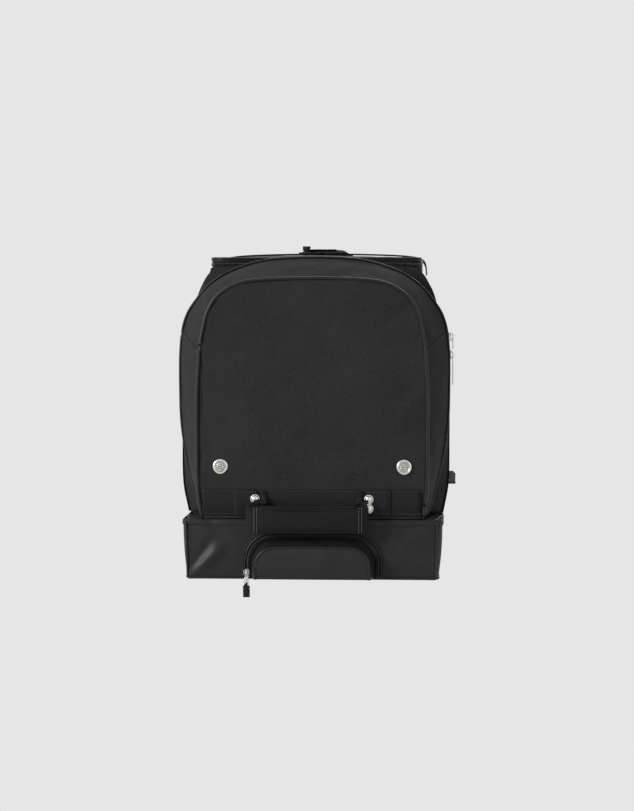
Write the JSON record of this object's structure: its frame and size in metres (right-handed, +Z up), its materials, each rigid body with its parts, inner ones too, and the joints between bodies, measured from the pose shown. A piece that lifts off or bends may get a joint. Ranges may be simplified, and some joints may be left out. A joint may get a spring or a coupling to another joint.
{
  "type": "hockey equipment bag",
  "caption": "Black wheeled hockey equipment bag with an arched zipped end compartment, zipped lid, carry straps, sewn end handle and a pull-out handle in a zipped pocket.",
  "frame": {"origin": "on the floor, under the middle of the bag's overall box", "axes": "+Z up, +Y towards the wheeled end, -Y towards the end with the handles, +X to the right of someone who faces that end"},
  "size_m": [0.3984, 0.974, 0.5053],
  "materials": {
    "pack_cloth": "woven polyester with a fine weave, black",
    "boot_cloth": "coated hard-wearing fabric, black, faint sheen",
    "webbing": "ribbed woven webbing, black",
    "lining": "lining cloth, dark grey",
    "base_board": "stiff polyethylene sheet",
    "black_plastic": "moulded, fine grain",
    "nickel": "nickel plated, bright",
    "aluminium": "anodised, satin",
    "wheel_rubber": "moulded rubber"
  },
  "bodies": {
    "bag": {"base_board": "base_board", "floor_liner": "lining", "boot_side_left": "boot_cloth", "boot_side_right": "boot_cloth", "boot_front": "boot_cloth", "boot_rear": "boot_cloth", "runner_left": "black_plastic", "runner_right": "black_plastic", "wheel_housing_left": "black_plastic", "wheel_housing_right": "black_plastic", "axle_left": "nickel", "axle_right": "nickel", "side_panel_left": "pack_cloth", "side_panel_right": "pack_cloth", "rear_panel": "pack_cloth", "bulkhead": "lining", "arch_band": "pack_cloth", "top_frame": "pack_cloth", "side_webbing_left": "webbing", "side_webbing_right": "webbing", "trolley_tube_left": "aluminium", "trolley_tube_right": "aluminium", "trolley_bezel": "black_plastic"},
    "lid": {"lid_panel": "pack_cloth"},
    "end_flap": {"end_panel": "pack_cloth", "gusset_left": "pack_cloth", "gusset_top": "pack_cloth", "gusset_right": "pack_cloth", "panel_piping": "boot_cloth", "webbing_band": "webbing", "rivet_plate_left": "nickel", "rivet_plate_right": "nickel", "vent_left": "nickel", "vent_right": "nickel", "handle_fold_left": "webbing", "handle_fold_right": "webbing"},
    "end_handle": {"handle_loop": "webbing", "handle_wrap": "pack_cloth"},
    "pocket_flap": {"pocket_cover": "boot_cloth"},
    "trolley": {"trolley_rod_left": "aluminium", "trolley_rod_right": "aluminium", "trolley_grip": "black_plastic"},
    "trolley_release": {"trolley_button": "black_plastic"},
    "wheel_left": {"wheel_hub_left": "black_plastic", "wheel_tyre_left": "wheel_rubber"},
    "wheel_right": {"wheel_hub_right": "black_plastic", "wheel_tyre_right": "wheel_rubber"},
    "carry_strap_left": {"carry_strap_left": "webbing"},
    "carry_strap_right": {"carry_strap_right": "webbing", "strap_wrap": "pack_cloth"},
    "arch_zip_lower": {"arch_slider_lower": "nickel"},
    "arch_tab_lower": {"arch_pull_lower": "nickel"},
    "arch_zip_upper": {"arch_slider_upper": "nickel"},
    "arch_tab_upper": {"arch_pull_upper": "nickel"},
    "lid_zip_front": {"lid_slider_front": "nickel"},
    "lid_tab_front": {"lid_pull_front": "nickel"},
    "lid_zip_rear": {"lid_slider_rear": "nickel"},
    "lid_tab_rear": {"lid_pull_rear": "nickel"},
    "pocket_zip": {"pocket_slider": "nickel"},
    "pocket_tab": {"pocket_pull": "nickel"}
  },
  "joints": [
    {"name": "end_flap_hinge", "type": "hinge", "parent": "bag", "child": "end_flap", "pos_m": [0, -0.452, 0.1132], "axis": [1, 0, 0], "range_deg": [0, 90]},
    {"name": "handle_hang", "type": "hinge", "parent": "end_flap", "child": "end_handle", "pos_m": [0, -0.465, 0.137], "axis": [1, 0, 0], "range_deg": [-90, 0]},
    {"name": "lid_hinge", "type": "hinge", "parent": "bag", "child": "lid", "pos_m": [0, 0.4675, 0.4772], "axis": [-1, 0, 0], "range_deg": [0, 110], "deforming": ["carry_strap_left", "carry_strap_right", "strap_wrap"]},
    {"name": "pocket_hinge", "type": "hinge", "parent": "bag", "child": "pocket_flap", "pos_m": [0, -0.483, 0.0299], "axis": [1, 0, 0], "range_deg": [0, 90]},
    {"name": "trolley_slide", "type": "slide", "parent": "bag", "child": "trolley", "axis": [0, -1, 0], "range_m": [0, 0.42], "deforming": ["pocket_cover"]},
    {"name": "trolley_button_press", "type": "slide", "parent": "trolley", "child": "trolley_release", "axis": [0, 1, 0], "range_m": [0, 0.002], "stiffness_N_per_m": 300},
    {"name": "wheel_left_spin", "type": "hinge", "parent": "bag", "child": "wheel_left", "pos_m": [-0.16, 0.446, 0.038], "axis": [1, 0, 0], "continuous": true},
    {"name": "wheel_right_spin", "type": "hinge", "parent": "bag", "child": "wheel_right", "pos_m": [0.16, 0.446, 0.038], "axis": [1, 0, 0], "continuous": true},
    {"name": "carry_strap_left_lift", "type": "hinge", "parent": "bag", "child": "carry_strap_left", "pos_m": [-0.1617, 0, 0.465], "axis": [0, -1, 0], "range_deg": [0, 100]},
    {"name": "carry_strap_right_lift", "type": "hinge", "parent": "bag", "child": "carry_strap_right", "pos_m": [0.1617, 0, 0.465], "axis": [0, 1, 0], "range_deg": [0, 100]},
    {"name": "arch_zip_lower_slide", "type": "slide", "parent": "bag", "child": "arch_zip_lower", "axis": [0, 0, -1], "range_m": [0, 0.19]},
    {"name": "arch_pull_lower_swing", "type": "hinge", "parent": "arch_zip_lower", "child": "arch_tab_lower", "pos_m": [0.2006, -0.384, 0.346], "axis": [0, -1, 0], "range_deg": [0, 150]},
    {"name": "arch_zip_upper_run", "type": "hinge", "parent": "bag", "child": "arch_zip_upper", "pos_m": [0.094, -0.384, 0.372], "axis": [0, -1, 0], "range_deg": [0, 66]},
    {"name": "arch_pull_upper_swing", "type": "hinge", "parent": "arch_zip_upper", "child": "arch_tab_upper", "pos_m": [0.2006, -0.384, 0.372], "axis": [0, -1, 0], "range_deg": [0, 120]},
    {"name": "lid_zip_front_slide", "type": "slide", "parent": "bag", "child": "lid_zip_front", "axis": [0, -1, 0], "range_m": [0, 0.5]},
    {"name": "lid_pull_front_swing", "type": "hinge", "parent": "lid_zip_front", "child": "lid_tab_front", "pos_m": [-0.1596, 0.176, 0.478], "axis": [0, 1, 0], "range_deg": [0, 120]},
    {"name": "lid_zip_rear_slide", "type": "slide", "parent": "bag", "child": "lid_zip_rear", "axis": [0, 1, 0], "range_m": [0, 0.24]},
    {"name": "lid_pull_rear_swing", "type": "hinge", "parent": "lid_zip_rear", "child": "lid_tab_rear", "pos_m": [-0.1596, 0.193, 0.478], "axis": [0, 1, 0], "range_deg": [0, 120]},
    {"name": "pocket_zip_slide", "type": "slide", "parent": "bag", "child": "pocket_zip", "axis": [0, 0, 1], "range_m": [0, 0.014]},
    {"name": "pocket_pull_swing", "type": "hinge", "parent": "pocket_zip", "child": "pocket_tab", "pos_m": [-0.0934, -0.4586, 0.035], "axis": [-1, 0, 0], "range_deg": [0, 120]}
  ],
  "couplings": [
    {"joint": "handle_hang", "follows": "end_flap_hinge", "ratio": -1}
  ]
}
